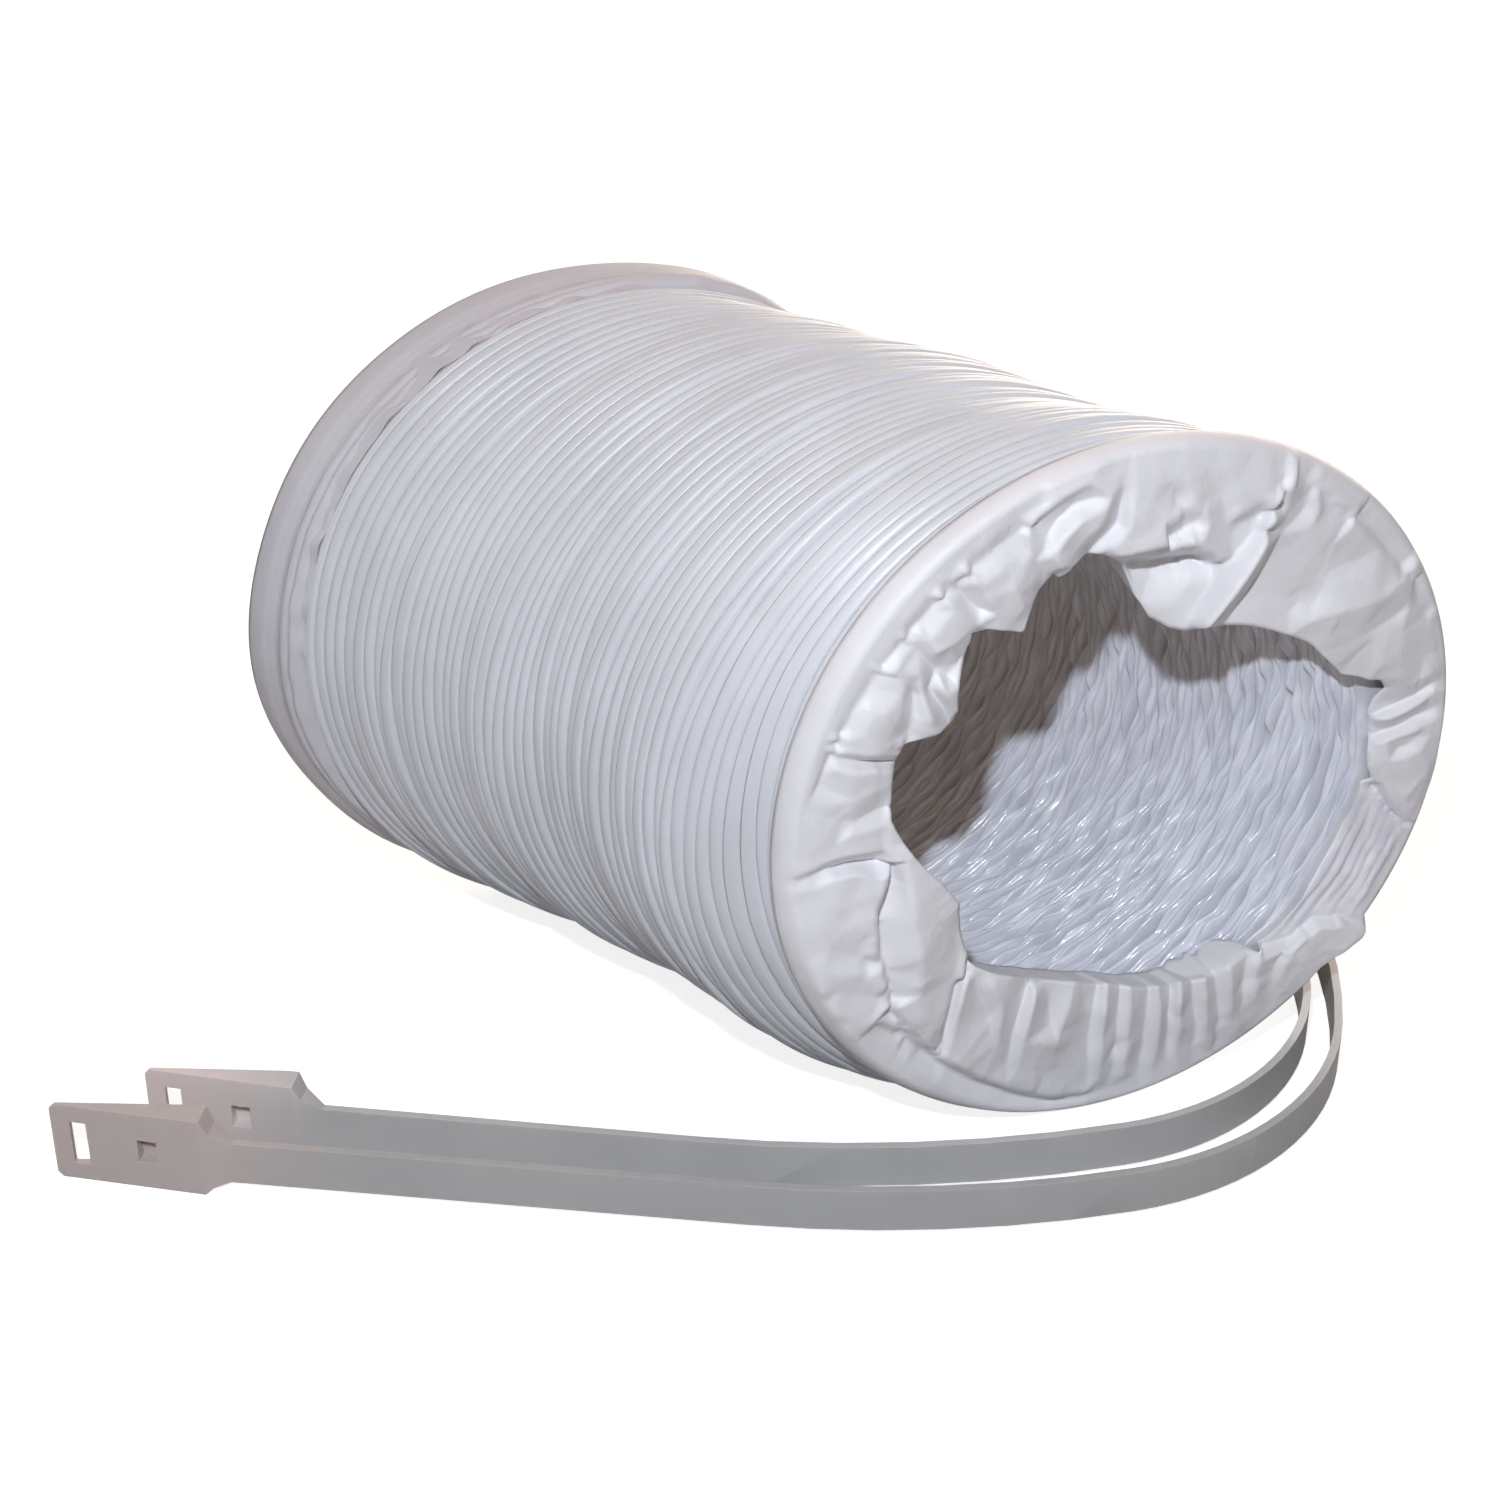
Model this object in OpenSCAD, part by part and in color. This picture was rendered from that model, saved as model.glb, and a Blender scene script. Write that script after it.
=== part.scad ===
// Flexible air duct: a pleated film hose on a helical spring wire, pushed together for storage,
// with two loose nylon duct ties. Millimetres, +Z up.
// The origin is the centre of the rear mouth. +X is the ring normal, out of the front end.
// Each ring stands square to X and rests on the floor, and the stack drifts towards +Y.

/* [Duct] */
// Bore of the open ends, the size of the spigot that they slip over
bore_d = 100; // [90:1:125]
// Turns of wire in one section of hose
turns = 3; // [2:1:4]
// Number of hose sections that move on their own
sections = 16; // [6:1:20]
// Distance along X from one turn to the next, as stored
pitch = 1.7; // [1.6:0.05:2.2]
// How far the film folds inwards between two turns
fold_depth = 12.5; // [6:0.5:16]
// Drift of the stack sideways, measured in plan from the X axis
lean = 30.1; // [0:0.1:35]

/* [Film] */
// Thickness of the laminated film
film_t = 0.3; // [0.25:0.01:0.35]
// Film that wraps a turn of wire
wrap_t = 0.2; // [0.15:0.01:0.22]
// Depth of the doubled film at the bottom of a fold
fold_bead = 1.3; // [1.1:0.1:1.6]
// Length of the open sleeve at the rear end
cuff_l = 12; // [8:0.5:20]
// Radius of the film's bend round the front turn, as it goes over into the mouth
lip_swell = 2.6; // [1.5:0.1:4]
// Distance from the folds in to the film that is tucked into the mouth
lip_clear = 1; // [1:0.1:6]
// Length of film that is tucked into the mouth
tuck_l = 2.4; // [1:0.1:3]

/* [Wire] */
// Diameter of the spring wire
wire_d = 0.8; // [0.6:0.05:0.9]

/* [Duct ties] */
// Width of the nylon band
tie_w = 6.6; // [5:0.1:8]
// Thickness of the nylon band
tie_t = 1.2; // [0.9:0.1:1.5]
// Length of the flat head
head_l = 22; // [18:0.5:28]
// Width of the flat head
head_w = 12.4; // [11:0.1:15]
// Thickness of the head at its free end
head_tip_t = 1.6; // [1.3:0.1:2.2]
// Thickness of the head where the band joins it
head_root_t = 4.2; // [3:0.1:5]
// Straight end of the front tie, beyond its last bend
front_tail_l = 97; // [40:1:120]
// Straight end of the rear tie, beyond its last bend
rear_tail_l = 117; // [40:1:140]

/* [Fits] */
// Clearance between pieces that move apart
gap = 0.3; // [0.2:0.05:0.4]
// Clearance between a wire turn and the film round it
wire_gap = 0.1; // [0.05:0.01:0.12]

/* [Hidden] */
$fn = 64;

// The turn of wire and its wrap
crest_d = wire_d + 2 * wire_gap + 2 * wrap_t;
ring_r = bore_d / 2 + film_t + 1;
outer_r = ring_r + crest_d / 2;
fold_r = ring_r - fold_depth;

// A half turn is a half circle that is tilted to climb half a pitch. Turns drift sideways as
// they climb: each has a straight stretch of that length at its top.
climb = atan(pitch / 4 / ring_r);
half_r = sqrt(pow(ring_r, 2) + pow(pitch / 4, 2));
drift = pitch * tan(lean);

section_l = turns * pitch;
hose_l = sections * section_l;
front_x = cuff_l + hose_l;
mouth_y = hose_l * tan(lean);

// Tucked lip, as runs of [bend radius, angle] or [0, length]: over the front turn, across the
// mouth with a slight lean, round the curl and back inside
lip_lean = 98;
curl_r = 1.2;
lip_bend_step = 14;
lip_depth = outer_r - fold_r + lip_clear;
lip_face_l = (lip_depth - lip_swell * (1 - cos(lip_lean)) - curl_r * (1 + cos(lip_lean)))
    / sin(lip_lean);
lip_runs = [[lip_swell, lip_lean], [0, lip_face_l], [curl_r, 180 - lip_lean], [0, tuck_l]];

// How far joined stretches lap, and how far a wire joint stands proud
lap = 0.05;
joint_proud = 0.02;

// Duct ties: start of the head, heading, and runs as [bend radius, angle] or [0, length]
tie_step = 1;
bend_step = 4;
front_start = [front_x - 42.1, mouth_y - 144.3];
front_heading = 59.5;
front_runs = [[0, 97.5], [147, 21], [47, 64], [110, 35.5], [0, front_tail_l]];
rear_start = [front_x - 45.1, mouth_y - 130.3];
rear_heading = 59;
rear_runs = [[0, 79], [158, 22], [43, 71], [107, 28], [0, rear_tail_l]];

film_white = [0.90, 0.90, 0.90];
wire_steel = [0.62, 0.63, 0.65];
nylon = [0.80, 0.79, 0.77];

// Points along runs of [bend radius, angle] or [0, length], as [x, y, heading]
function run_end(p, run, part) =
    run[0] == 0
        ? [p[0] + run[1] * part * cos(p[2]), p[1] + run[1] * part * sin(p[2]), p[2]]
        : let (h = p[2] + run[1] * part)
            [p[0] + run[0] * (sin(h) - sin(p[2])), p[1] + run[0] * (cos(p[2]) - cos(h)), h];

function run_points(p, runs, step, i = 0) =
    i == len(runs)
        ? [p]
        : let (n = runs[i][0] == 0 ? 1 : ceil(runs[i][1] / step))
            concat(
                [for (k = [0 : n - 1]) run_end(p, runs[i], k / n)],
                run_points(run_end(p, runs[i], 1), runs, step, i + 1)
            );

// One side of a band of some thickness along a list of [x, y, heading]
function band_side(points, side, thick) =
    [for (p = points) [p[0] - side * thick / 2 * sin(p[2]), p[1] + side * thick / 2 * cos(p[2])]];

function reversed(list) = [for (i = [len(list) - 1 : -1 : 0]) list[i]];

// Half a turn of a profile drawn in (radius, x). Side 1 climbs on +Y and side -1 on -Y.
module half_turn(side) {
    translate([side * pitch / 4, 0, 0])
        rotate([0, -side * climb, 0])
            rotate([0, 90, 0])
                rotate([0, 0, side > 0 ? 0 : 180])
                    rotate_extrude(angle = 180)
                        children();
}

// One whole turn of a profile, from the bottom on -Y to the top, then down on +Y
module turn() {
    half_turn(-1)
        children();
    translate([0, drift, 0])
        half_turn(1)
            children();
}

// A straight stretch of a profile along Y at the top of a turn, which laps both ends it joins
module top_seam(length) {
    translate([0, length + lap, 0])
        rotate([90, 0, 0])
            linear_extrude(length + 2 * lap)
                rotate([0, 0, 90])
                    mirror([0, 1])
                        children();
}

// Where one turn ends and the next begins, at the bottom
module bottom_seam() {
    translate([-pitch / 2, lap, 0])
        rotate([90, 0, 0])
            linear_extrude(2 * lap)
                rotate([0, 0, -90])
                    children();
}

// A section starts and ends at the bottom of a turn, and its end stops short of the next one
module section_of_turns() {
    difference() {
        union() children();
        translate([section_l - pitch, turns * drift - gap, -outer_r - 1])
            cube([2 * pitch, 2 * gap, fold_depth + crest_d + 2]);
    }
}

// One pleat of film: a crest round the wire, and two walls that run down into the folds.
// The margins trim the outer walls where the next section begins. A seam is a little fatter.
module pleat_profile(left = 0, right = 0, fat = 0) {
    side = pitch / 2 + lap / 2;
    wall_in = pitch / 2 - film_t - fat;
    neck = crest_d / 2 - film_t - fat;
    shoulder = crest_d / 2 - 0.08 + fat;
    root = half_r - crest_d / 2 - lap - fat;
    bead = fold_r + fold_bead + fat;
    tip = fold_r - fat;
    difference() {
        union() {
            intersection() {
                polygon([
                    [bead, -side], [half_r, -shoulder], [half_r, shoulder], [bead, side],
                    [tip, side], [tip, wall_in], [root, neck],
                    [root, -neck], [tip, -wall_in], [tip, -side]
                ]);
                translate([fold_r - 1, left > 0 ? left + fat - pitch / 2 : -pitch])
                    square([
                        fold_depth + 2,
                        (left > 0 ? pitch / 2 - left - fat : pitch)
                            + (right > 0 ? pitch / 2 - right - fat : pitch)
                    ]);
            }
            translate([half_r, 0])
                circle(d = crest_d + 2 * fat, $fn = 24);
        }
        translate([half_r, 0])
            circle(d = wire_d + 2 * wire_gap - 2 * fat, $fn = 24);
    }
}

// Places a section. Section 1 is at the front mouth and the last one is at the rear cuff.
module place_section(i) {
    x = front_x - i * section_l + pitch / 2;
    translate([x, (x - cuff_l) * tan(lean), 0])
        children();
}

// A section of pleated film, which follows the wire round
module film(i) {
    edge = gap / 2 + lap / 2;
    last = turns - 1;
    color(film_white)
        place_section(i)
            section_of_turns()
                for (j = [0 : last])
                    translate([j * pitch, j * drift, 0]) {
                        turn()
                            pleat_profile(j == 0 ? edge : 0, j == last ? edge : 0);
                        top_seam(drift)
                            pleat_profile(j == 0 ? edge : 0, j == last ? edge : 0, joint_proud);
                        if (j > 0)
                            bottom_seam()
                                pleat_profile(j == 1 ? edge : 0, j == last ? edge : 0, joint_proud);
                    }
}

module wire_profile(fat = 0) {
    translate([half_r, 0])
        circle(d = wire_d + 2 * fat, $fn = 24);
}

// A section of wire: a true helix made of tilted half circles
module wire(i) {
    color(wire_steel)
        place_section(i)
            section_of_turns()
                for (j = [0 : turns - 1])
                    translate([j * pitch, j * drift, 0]) {
                        turn()
                            wire_profile();
                        top_seam(drift)
                            wire_profile(joint_proud);
                        if (j > 0)
                            bottom_seam()
                                wire_profile(joint_proud);
                    }
}

// The open sleeve at the rear, which slips over a spigot, with a hem round its mouth
module rear_cuff() {
    hem = film_t;
    end_x = cuff_l - pitch / 4 - gap;
    color(film_white)
        rotate([0, 90, 0])
            rotate_extrude()
                polygon([
                    [bore_d / 2, 0], [outer_r - hem / 2, 0], [outer_r, hem / 2],
                    [outer_r, 3 * hem], [outer_r - hem, 4 * hem], [bore_d / 2 + film_t, 6 * hem],
                    [bore_d / 2 + film_t, end_x], [bore_d / 2, end_x]
                ]);
}

// The film end that goes round the front turn and is tucked back into the mouth
module front_cuff() {
    start_x = front_x + pitch / 4 + gap;
    color(film_white)
        translate([start_x, (start_x - cuff_l) * tan(lean), 0])
            rotate([0, 90, 0])
                rotate_extrude()
                    lip_profile();
}

// The lip's film in (radius, x), drawn along its centre line in (x, depth below the rim)
module lip_profile() {
    line = run_points([0, film_t / 2, 0], lip_runs, lip_bend_step);
    outline = concat(band_side(line, 1, film_t), reversed(band_side(line, -1, film_t)));
    polygon([for (p = outline) [outer_r - p[1], p[0]]]);
}

// The flat head of a tie: a wedge, thin at the tip, with the tail's slot and the latch pocket
module tie_head() {
    shoulder = 4;
    slot = [2.4, tie_w + 0.4];
    pocket = [2.8, 3.6];
    difference() {
        intersection() {
            rotate([90, 0, 0])
                translate([0, 0, -head_root_t])
                    linear_extrude(2 * head_root_t)
                        polygon([
                            [0, 0.8], [0.8, 0], [head_l, 0], [head_l + 1, 0.8 * tie_step],
                            [head_l + shoulder, tie_step + 0.3],
                            [head_l + shoulder, tie_step + tie_w - 0.3],
                            [head_l + 1, head_w - 2.4], [head_l, head_w],
                            [0.8, head_w], [0, head_w - 0.8]
                        ]);
            linear_extrude(head_w)
                polygon([
                    [0, -tie_t / 2], [head_l - 2, head_root_t - tie_t / 2 - 2.2],
                    [head_l, head_root_t - tie_t / 2 - 2.2], [head_l + shoulder, tie_t / 2 - 0.2],
                    [head_l + shoulder, 0.2 - tie_t / 2], [head_l, tie_t / 2 - head_root_t + 1],
                    [0, tie_t / 2 - head_tip_t]
                ]);
        }
        translate([2.8, -head_root_t, (head_w - slot[1]) / 2])
            cube([slot[0], 2 * head_root_t, slot[1]]);
        translate([head_l - 9.4, -head_root_t, (head_w - pocket[1]) / 2])
            cube([pocket[0], head_root_t, pocket[1]]);
    }
}

// A tie standing on edge. Its band starts inside the root of its head.
module tie(start, heading, runs) {
    points = run_points([start[0], start[1], heading], runs, bend_step);
    first = run_end([start[0], start[1], heading], [0, head_l], 1);
    band = concat([first], [for (i = [1 : len(points) - 1]) points[i]]);
    color(nylon)
        translate([0, 0, -outer_r]) {
            translate([start[0], start[1], 0])
                rotate([0, 0, heading])
                    tie_head();
            translate([0, 0, tie_step])
                linear_extrude(tie_w)
                    polygon(concat(band_side(band, 1, tie_t), reversed(band_side(band, -1, tie_t))));
        }
}

module front_tie() {
    tie(front_start, front_heading, front_runs);
}

module rear_tie() {
    tie(rear_start, rear_heading, rear_runs);
}

front_cuff();
rear_cuff();
front_tie();
rear_tie();
for (i = [1 : sections])
    film(i);
for (i = [1 : sections])
    wire(i);
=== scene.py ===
"""Looks for the flexible air duct: a pleated film hose with its tucked lip, and two duct ties.

Everything is in metres in the part's own frame, +X out of the front mouth and +Z up, apart from
the lists of places, whose comments give their units.
"""

import math
import random

import bmesh
import bpy
import numpy as np
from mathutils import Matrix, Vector
from mathutils.bvhtree import BVHTree
from mathutils.geometry import delaunay_2d_cdt


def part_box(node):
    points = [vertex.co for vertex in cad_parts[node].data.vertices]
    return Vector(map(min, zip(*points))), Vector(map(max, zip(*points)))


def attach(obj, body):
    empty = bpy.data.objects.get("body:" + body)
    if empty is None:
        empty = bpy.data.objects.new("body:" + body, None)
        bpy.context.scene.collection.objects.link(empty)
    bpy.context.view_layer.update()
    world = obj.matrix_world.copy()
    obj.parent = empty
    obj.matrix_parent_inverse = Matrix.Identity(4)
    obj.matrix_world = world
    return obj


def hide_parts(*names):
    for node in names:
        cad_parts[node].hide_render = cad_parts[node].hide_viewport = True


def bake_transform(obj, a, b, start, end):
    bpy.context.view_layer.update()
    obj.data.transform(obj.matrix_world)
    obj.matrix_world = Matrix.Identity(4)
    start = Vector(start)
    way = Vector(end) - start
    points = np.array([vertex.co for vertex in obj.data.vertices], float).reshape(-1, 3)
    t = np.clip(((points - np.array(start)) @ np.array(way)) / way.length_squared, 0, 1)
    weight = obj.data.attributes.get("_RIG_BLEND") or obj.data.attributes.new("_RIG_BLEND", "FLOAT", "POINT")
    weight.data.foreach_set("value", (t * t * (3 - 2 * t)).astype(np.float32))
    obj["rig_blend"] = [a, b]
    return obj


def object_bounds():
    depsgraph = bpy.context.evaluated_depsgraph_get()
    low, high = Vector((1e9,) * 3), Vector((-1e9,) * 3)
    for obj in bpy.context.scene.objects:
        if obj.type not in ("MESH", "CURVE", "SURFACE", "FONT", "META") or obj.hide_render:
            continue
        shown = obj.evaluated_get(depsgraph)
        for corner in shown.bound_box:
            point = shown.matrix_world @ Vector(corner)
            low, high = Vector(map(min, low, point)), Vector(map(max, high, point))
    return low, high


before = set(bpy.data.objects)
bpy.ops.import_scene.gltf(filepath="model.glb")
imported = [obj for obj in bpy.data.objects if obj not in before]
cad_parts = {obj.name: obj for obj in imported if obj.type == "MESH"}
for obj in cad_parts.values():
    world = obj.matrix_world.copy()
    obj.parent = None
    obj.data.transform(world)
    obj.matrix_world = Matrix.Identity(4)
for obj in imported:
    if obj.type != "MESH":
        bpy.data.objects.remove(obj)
cad_low, cad_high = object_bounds()

MM = 0.001
TURN = 2 * math.pi
SAME_PLACE = 1e-7


# -------- sizes from the frame

SECTIONS = sum(name.startswith("film_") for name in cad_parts)
TURNS = 3
N_TURNS = SECTIONS * TURNS


def box_centre(node):
    low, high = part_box(node)
    return (low + high) / 2


first_section, last_section = box_centre("film_1"), box_centre(f"film_{SECTIONS}")
section_l = (first_section.x - last_section.x) / (SECTIONS - 1)
pitch = section_l / TURNS
outer_r = (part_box("film_8")[1].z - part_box("film_8")[0].z) / 2
crest_r = 0.7 * MM
wire_r = 0.4 * MM
ring_r = outer_r - crest_r
fold_r = 39.6 * MM
rear_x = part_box(f"film_{SECTIONS}")[0].x + crest_r
front_x = rear_x + N_TURNS * pitch
floor_z = cad_low.z


# -------- camera and stage

CAMERA_AT = Vector((0.361, -0.123, 0.1758))
CAMERA_TO = Vector((0.0596, 0.00545, -0.002))
CAMERA_LENS = 62.4
SENSOR_WIDTH = 36


def new_object(name, data):
    thing = bpy.data.objects.new(name, data)
    bpy.context.scene.collection.objects.link(thing)
    return thing


def aim(thing, at, to):
    thing.location = at
    thing.rotation_euler = (Vector(to) - Vector(at)).to_track_quat("-Z", "Y").to_euler()


def make_camera():
    data = bpy.data.cameras.new("camera")
    data.lens = CAMERA_LENS
    data.sensor_width = SENSOR_WIDTH
    data.clip_start, data.clip_end = 0.01, 50
    camera = new_object("camera", data)
    aim(camera, CAMERA_AT, CAMERA_TO)
    bpy.context.scene.camera = camera


def area_light(name, at, to, width, height, power, colour=(1, 1, 1)):
    data = bpy.data.lights.new(name, "AREA")
    data.shape = "RECTANGLE"
    data.size, data.size_y = width, height
    data.energy = power
    data.color = colour
    aim(new_object(name, data), at, to)


def make_lights():
    target = (0.06, 0.02, 0.0)
    area_light("key", (0.345, -0.144, 0.267), target, 0.012, 0.012, 1.28, (0.90, 0.945, 1.0))
    area_light("soft_fill", (0.2, -0.95, 0.45), target, 0.9, 0.7, 0.2, (0.95, 0.97, 1.0))
    area_light("warm_top", (-0.15, 0.1, 0.95), target, 0.5, 0.5, 1.1, (1.0, 0.42, 0.12))
    area_light("back", (-0.60, 0.85, 0.25), target, 0.9, 0.6, 8.0, (1.0, 0.87, 0.75))


# -------- node helpers


def new_material(name):
    material = bpy.data.materials.new(name)
    material.use_nodes = True
    nodes = material.node_tree.nodes
    nodes.clear()
    return material, nodes


def add(nodes, kind, **settings):
    """A shader node, with the settings given as inputs or as properties."""
    node = nodes.new("ShaderNode" + kind)
    for name, value in settings.items():
        if name in node.inputs.keys():
            node.inputs[name].default_value = value
        else:
            setattr(node, name, value)
    return node


def add_ramp(nodes, low, high, start=0.0, stop=1.0):
    ramp = add(nodes, "ValToRGB")
    for element, colour, position in zip(ramp.color_ramp.elements, (low, high), (start, stop)):
        element.position, element.color = position, colour + (1,)
    return ramp


def add_range(nodes, to=(0, 1), of=(0, 1)):
    spread = add(nodes, "MapRange")
    spread.inputs["From Min"].default_value, spread.inputs["From Max"].default_value = of
    spread.inputs["To Min"].default_value, spread.inputs["To Max"].default_value = to
    return spread


def join(source, output, target, inlet):
    """Links an output of one node to an input of another, each by its name or number."""
    source.id_data.links.new(source.outputs[output], target.inputs[inlet])


def make_world():
    world = bpy.data.worlds.new("studio")
    bpy.context.scene.world = world
    world.use_nodes = True
    nodes = world.node_tree.nodes
    nodes.clear()
    out = add(nodes, "OutputWorld")
    fill = add(nodes, "Background", Color=(1.0, 0.90, 0.84, 1), Strength=0.17)
    white = add(nodes, "Background", Color=(1, 1, 1, 1), Strength=1.0)
    path = add(nodes, "LightPath")
    either = add(nodes, "Math", operation="MAXIMUM")
    seen = add(nodes, "Math", operation="MAXIMUM")
    mix = add(nodes, "MixShader")
    join(path, "Is Camera Ray", either, 0)
    join(path, "Is Transmission Ray", either, 1)
    join(either, 0, seen, 0)
    join(path, "Is Glossy Ray", seen, 1)
    join(seen, 0, mix, "Fac")
    join(fill, 0, mix, 1)
    join(white, 0, mix, 2)
    join(mix, 0, out, "Surface")


def make_floor():
    """A white floor just under the object. It is bright to the camera, and still takes shadows."""
    mesh = bpy.data.meshes.new("floor")
    reach, brightness = 6.0, 0.82
    corners = [(-reach, -reach), (reach, -reach), (reach, reach), (-reach, reach)]
    mesh.from_pydata([(x, y, floor_z - 0.02 * MM) for x, y in corners], [], [(0, 1, 2, 3)])
    floor = new_object("floor", mesh)
    material, nodes = new_material("floor_paper")
    out = add(nodes, "OutputMaterial")
    paper = add(nodes, "BsdfDiffuse", Color=(0.5, 0.5, 0.5, 1))
    glow = add(nodes, "Emission", Color=(1, 1, 1, 1))
    path = add(nodes, "LightPath")
    lit = add(nodes, "Math", operation="MULTIPLY")
    both = add(nodes, "AddShader")
    lit.inputs[1].default_value = brightness
    join(path, "Is Camera Ray", lit, 0)
    join(lit, 0, glow, "Strength")
    join(paper, 0, both, 0)
    join(glow, 0, both, 1)
    join(both, 0, out, "Surface")
    mesh.materials.append(material)


# -------- materials

# Darkest and lightest share of the film's colour, and the fine grain's share of its bump
MOTTLE = (0.93, 1.03)
GRAIN = 0.12
# Deep in the folds: roughness, and the strength of a faint warm glow, painted light that lifts the shade in
# the bore
FOLD_ROUGHNESS = 0.18
FOLD_PAINTED_GLOW = 0.028
# Where a tie's colour turns from the band's to its head's, along Y
HEAD_FROM, HEAD_TO = -0.060, -0.078


def film_material(name, colour, inside, gloss, crinkle):
    """White laminated film: satin, faintly mottled, with fine creases. Down in the folds, which
    face the bore, it is glossier and bluer, with painted light and dark streaks, and it glows faintly
    warm: painted light that lifts and warms the shade in the bore."""
    material, nodes = new_material(name)
    out = add(nodes, "OutputMaterial")
    shader = add(nodes, "BsdfPrincipled", IOR=1.5)
    shader.inputs["Specular IOR Level"].default_value = 0.5
    place = add(nodes, "TexCoord")
    blotch = add(nodes, "TexNoise", Scale=55.0, Detail=3.0)
    low, high = [tuple(c * k for c in colour) for k in MOTTLE]
    tint = add_ramp(nodes, low, high, 0.3, 0.72)
    polish = add_range(nodes, gloss)
    crease = add(nodes, "TexNoise", Scale=260.0, Detail=5.0, Roughness=0.6)
    grain = add(nodes, "TexNoise", Scale=2600.0, Detail=2.0)
    # Painted light and shade: light and dark streaks along the folds, strongest deep in them, for the glints
    # on the ridges and the dark lines between. The same noise also bumps the folds.
    squeeze = add(nodes, "Mapping", Scale=(12.0, 1.0, 1.0))
    line = add(nodes, "TexNoise", Scale=140.0, Detail=3.0)
    stripe = add_ramp(nodes, (0.84, 0.84, 0.88), (1.09, 1.08, 1.06), 0.36, 0.62)
    striped = add(nodes, "MixRGB", blend_type="MULTIPLY")
    mixed = add(nodes, "Math", operation="MULTIPLY_ADD")
    mixed.inputs[1].default_value = GRAIN
    lined = add(nodes, "Math", operation="MULTIPLY_ADD")
    bump = add(nodes, "Bump", Strength=crinkle, Distance=0.0006)
    join(place, "Object", squeeze, "Vector")
    join(squeeze, "Vector", line, "Vector")
    join(line, "Fac", stripe, "Fac")
    for texture in (blotch, crease, grain):
        join(place, "Object", texture, "Vector")
    join(blotch, "Fac", tint, "Fac")
    join(blotch, "Fac", polish, "Value")
    inward = add(nodes, "Attribute", attribute_name="inward")
    tone = add(nodes, "MixRGB", Color2=inside + (1,))
    shine = add(nodes, "Mix", data_type="FLOAT")
    shine.inputs[3].default_value = FOLD_ROUGHNESS
    # Painted light: a faint warm glow, strongest deep in the folds, lifts and warms the shade in the bore
    shader.inputs["Emission Color"].default_value = (1.0, 0.62, 0.16, 1)
    through = add(nodes, "Math", operation="MULTIPLY")
    through.inputs[1].default_value = FOLD_PAINTED_GLOW
    join(inward, "Fac", through, 0)
    join(through, 0, shader, "Emission Strength")
    join(inward, "Fac", tone, "Fac")
    join(tint, "Color", tone, "Color1")
    join(inward, "Fac", striped, "Fac")
    join(tone, "Color", striped, "Color1")
    join(stripe, "Color", striped, "Color2")
    join(striped, "Color", shader, "Base Color")
    join(inward, "Fac", shine, 0)
    join(polish, "Result", shine, 2)
    join(shine, 0, shader, "Roughness")
    join(grain, "Fac", mixed, 0)
    join(crease, "Fac", mixed, 2)
    join(line, "Fac", lined, 0)
    join(inward, "Fac", lined, 1)
    join(mixed, 0, lined, 2)
    join(lined, 0, bump, "Height")
    join(bump, "Normal", shader, "Normal")
    join(shader, 0, out, "Surface")
    return material


def nylon_material(name, band, head_colour):
    """Natural nylon: pale, faintly warm at the thick head, waxy, a little light passes through."""
    material, nodes = new_material(name)
    out = add(nodes, "OutputMaterial")
    shader = add(nodes, "BsdfPrincipled", IOR=1.53)
    shader.inputs["Subsurface Weight"].default_value = 0.35
    shader.inputs["Subsurface Radius"].default_value = (1.0, 0.85, 0.7)
    shader.inputs["Subsurface Scale"].default_value = 0.0015
    place = add(nodes, "TexCoord")
    cloud = add(nodes, "TexNoise", Scale=70.0, Detail=2.0)
    tint = add_ramp(nodes, (0.9 * band, 0.91 * band, 0.93 * band), (1.1 * band,) * 3)
    thick = add(nodes, "MixRGB", Color2=head_colour + (1,))
    apart = add(nodes, "SeparateXYZ")
    head = add_range(nodes, of=(HEAD_FROM, HEAD_TO))
    polish = add_range(nodes, (0.3, 0.45))
    grain = add(nodes, "TexNoise", Scale=900.0, Detail=3.0)
    bump = add(nodes, "Bump", Strength=0.12, Distance=0.0002)
    for texture in (cloud, grain):
        join(place, "Object", texture, "Vector")
    join(cloud, "Fac", tint, "Fac")
    join(cloud, "Fac", polish, "Value")
    join(grain, "Fac", bump, "Height")
    join(place, "Object", apart, 0)
    join(apart, "Y", head, "Value")
    join(head, "Result", thick, "Fac")
    join(tint, "Color", thick, "Color1")
    join(thick, "Color", shader, "Base Color")
    join(polish, "Result", shader, "Roughness")
    join(bump, "Normal", shader, "Normal")
    join(shader, 0, out, "Surface")
    return material


def steel_material():
    """Drawn spring steel, faintly mottled."""
    material, nodes = new_material("spring_steel")
    out = add(nodes, "OutputMaterial")
    shader = add(nodes, "BsdfPrincipled", Metallic=1.0)
    place = add(nodes, "TexCoord")
    streak = add(nodes, "TexNoise", Scale=900.0, Detail=3.0)
    tint = add_ramp(nodes, (0.42, 0.43, 0.45), (0.62, 0.63, 0.65))
    polish = add_range(nodes, (0.25, 0.45))
    join(place, "Object", streak, "Vector")
    join(streak, "Fac", tint, "Fac")
    join(streak, "Fac", polish, "Value")
    join(tint, "Color", shader, "Base Color")
    join(polish, "Result", shader, "Roughness")
    join(shader, 0, out, "Surface")
    return material


# -------- smooth random fields


def wave_set(rng, count, around, along):
    """Waves over (turn, angle): a whole number round the ring, any number along the hose."""
    return [
        (
            int(rng.integers(around[0], around[1] + 1)),
            rng.uniform(*along) * rng.choice((-1, 1)),
            rng.uniform(0, TURN),
            math.sqrt(2 / count),
        )
        for _ in range(count)
    ]


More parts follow.
